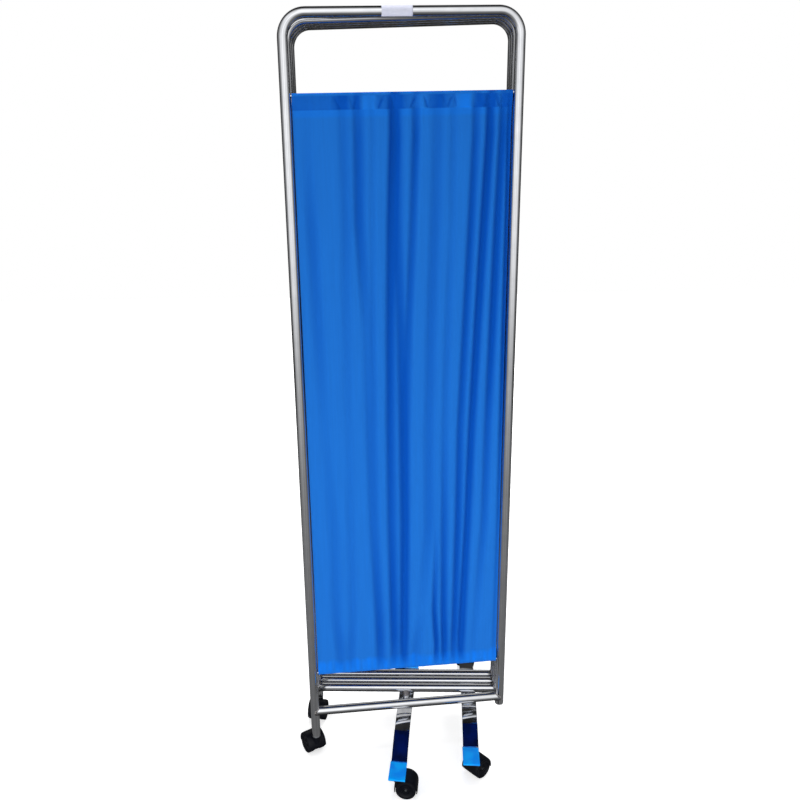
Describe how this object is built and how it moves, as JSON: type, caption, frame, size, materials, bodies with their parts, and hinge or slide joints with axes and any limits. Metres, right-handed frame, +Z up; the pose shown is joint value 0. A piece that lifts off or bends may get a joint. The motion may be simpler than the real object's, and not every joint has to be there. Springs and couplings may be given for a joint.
{
  "type": "folding ward privacy screen",
  "caption": "Folding privacy screen on casters: hinged steel tube panels, each with a curtain held between rods, on arched strip feet.",
  "frame": {"origin": "middle of the screen's overall footprint, on the floor under the wheels", "axes": "+Z up, +X to the right along the folded panels as seen from the front, -Y towards the viewer, whose side panel 1 is on"},
  "size_m": [0.5304, 0.573, 1.755],
  "materials": {
    "steel_tube": "polished stainless tube",
    "steel_rod": "bright drawn rod",
    "steel_strip": "polished flat bar",
    "fittings_steel": "plain zinc-bright steel",
    "curtain_cloth": "plain woven mid-blue cloth",
    "caster_plastic": "near-black moulded nylon",
    "wheel_plastic": "near-black moulded tread"
  },
  "bodies": {
    "panel_2": {"panel_2_frame": "steel_tube", "panel_2_crossbar": "steel_tube", "panel_2_top_rod": "steel_rod", "panel_2_bottom_rod": "steel_rod", "panel_2_curtain": "curtain_cloth", "hinge_12_lower_pin": "fittings_steel", "hinge_12_upper_pin": "fittings_steel", "hinge_23_lower_pin": "fittings_steel", "hinge_23_upper_pin": "fittings_steel", "foot_2_bow": "steel_strip", "foot_2_post": "steel_tube", "caster_foot_2_front_stem": "fittings_steel", "caster_foot_2_rear_stem": "fittings_steel"},
    "panel_1": {"panel_1_frame": "steel_tube", "panel_1_crossbar": "steel_tube", "panel_1_top_rod": "steel_rod", "panel_1_bottom_rod": "steel_rod", "panel_1_curtain": "curtain_cloth", "caster_leg_1_stem": "fittings_steel"},
    "panel_3": {"panel_3_frame": "steel_tube", "panel_3_crossbar": "steel_tube", "panel_3_top_rod": "steel_rod", "panel_3_bottom_rod": "steel_rod", "panel_3_curtain": "curtain_cloth", "hinge_34_lower_pin": "fittings_steel", "hinge_34_upper_pin": "fittings_steel", "foot_3_bow": "steel_strip", "foot_3_post": "steel_tube", "caster_foot_3_front_stem": "fittings_steel", "caster_foot_3_rear_stem": "fittings_steel"},
    "panel_4": {"panel_4_frame": "steel_tube", "panel_4_crossbar": "steel_tube", "panel_4_top_rod": "steel_rod", "panel_4_bottom_rod": "steel_rod", "panel_4_curtain": "curtain_cloth", "caster_leg_4_stem": "fittings_steel"},
    "leg_1_swivel": {"caster_leg_1_hood": "caster_plastic"},
    "leg_1_wheels": {"caster_leg_1_axle": "fittings_steel", "caster_leg_1_wheel_a": "wheel_plastic", "caster_leg_1_wheel_b": "wheel_plastic"},
    "leg_4_swivel": {"caster_leg_4_hood": "caster_plastic"},
    "leg_4_wheels": {"caster_leg_4_axle": "fittings_steel", "caster_leg_4_wheel_a": "wheel_plastic", "caster_leg_4_wheel_b": "wheel_plastic"},
    "foot_2_front_swivel": {"caster_foot_2_front_hood": "caster_plastic"},
    "foot_2_front_wheels": {"caster_foot_2_front_axle": "fittings_steel", "caster_foot_2_front_wheel_a": "wheel_plastic", "caster_foot_2_front_wheel_b": "wheel_plastic"},
    "foot_2_rear_swivel": {"caster_foot_2_rear_hood": "caster_plastic"},
    "foot_2_rear_wheels": {"caster_foot_2_rear_axle": "fittings_steel", "caster_foot_2_rear_wheel_a": "wheel_plastic", "caster_foot_2_rear_wheel_b": "wheel_plastic"},
    "foot_3_front_swivel": {"caster_foot_3_front_hood": "caster_plastic"},
    "foot_3_front_wheels": {"caster_foot_3_front_axle": "fittings_steel", "caster_foot_3_front_wheel_a": "wheel_plastic", "caster_foot_3_front_wheel_b": "wheel_plastic"},
    "foot_3_rear_swivel": {"caster_foot_3_rear_hood": "caster_plastic"},
    "foot_3_rear_wheels": {"caster_foot_3_rear_axle": "fittings_steel", "caster_foot_3_rear_wheel_a": "wheel_plastic", "caster_foot_3_rear_wheel_b": "wheel_plastic"}
  },
  "joints": [
    {"name": "hinge_12_fold", "type": "hinge", "parent": "panel_2", "child": "panel_1", "pos_m": [0.25721, -0.04183, 0.96], "axis": [0, 0, 1], "range_deg": [-6, 112]},
    {"name": "hinge_23_fold", "type": "hinge", "parent": "panel_2", "child": "panel_3", "pos_m": [-0.2308, -0.01183, 0.96], "axis": [0, 0, 1], "range_deg": [0, 120]},
    {"name": "hinge_34_fold", "type": "hinge", "parent": "panel_3", "child": "panel_4", "pos_m": [0.25721, 0.01817, 0.96], "axis": [0, 0, -1], "range_deg": [0, 120]},
    {"name": "leg_1_swivel_turn", "type": "hinge", "parent": "panel_1", "child": "leg_1_swivel", "pos_m": [-0.21901, -0.12391, 0.045], "axis": [0, 0, 1], "continuous": true},
    {"name": "leg_4_swivel_turn", "type": "hinge", "parent": "panel_4", "child": "leg_4_swivel", "pos_m": [-0.22579, 0.03317, 0.045], "axis": [0, 0, 1], "continuous": true},
    {"name": "foot_2_front_swivel_turn", "type": "hinge", "parent": "panel_2", "child": "foot_2_front_swivel", "pos_m": [-0.00874, -0.25478, 0.045], "axis": [0, 0, 1], "continuous": true},
    {"name": "foot_2_rear_swivel_turn", "type": "hinge", "parent": "panel_2", "child": "foot_2_rear_swivel", "pos_m": [0.03285, 0.17723, 0.045], "axis": [0, 0, 1], "continuous": true},
    {"name": "foot_3_front_swivel_turn", "type": "hinge", "parent": "panel_3", "child": "foot_3_front_swivel", "pos_m": [0.17102, -0.20067, 0.045], "axis": [0, 0, 1], "continuous": true},
    {"name": "foot_3_rear_swivel_turn", "type": "hinge", "parent": "panel_3", "child": "foot_3_rear_swivel", "pos_m": [0.18843, 0.23298, 0.045], "axis": [0, 0, 1], "continuous": true},
    {"name": "leg_1_wheels_roll", "type": "hinge", "parent": "leg_1_swivel", "child": "leg_1_wheels", "pos_m": [-0.2299, -0.10713, 0.02452], "axis": [-0.8387, -0.5446, 0], "continuous": true},
    {"name": "leg_4_wheels_roll", "type": "hinge", "parent": "leg_4_swivel", "child": "leg_4_wheels", "pos_m": [-0.22823, 0.01332, 0.02452], "axis": [0.9925, -0.1219, 0], "continuous": true},
    {"name": "foot_2_front_wheels_roll", "type": "hinge", "parent": "foot_2_front_swivel", "child": "foot_2_front_wheels", "pos_m": [0.01116, -0.25669, 0.02452], "axis": [0.0958, 0.9954, 0], "continuous": true},
    {"name": "foot_2_rear_wheels_roll", "type": "hinge", "parent": "foot_2_rear_swivel", "child": "foot_2_rear_wheels", "pos_m": [0.01657, 0.18884, 0.02452], "axis": [-0.5807, -0.8141, 0], "continuous": true},
    {"name": "foot_3_front_wheels_roll", "type": "hinge", "parent": "foot_3_front_swivel", "child": "foot_3_front_wheels", "pos_m": [0.18572, -0.1871, 0.02452], "axis": [-0.6782, 0.7349, 0], "continuous": true},
    {"name": "foot_3_rear_wheels_roll", "type": "hinge", "parent": "foot_3_rear_swivel", "child": "foot_3_rear_wheels", "pos_m": [0.19438, 0.25208, 0.02452], "axis": [-0.9548, 0.2974, 0], "continuous": true}
  ]
}
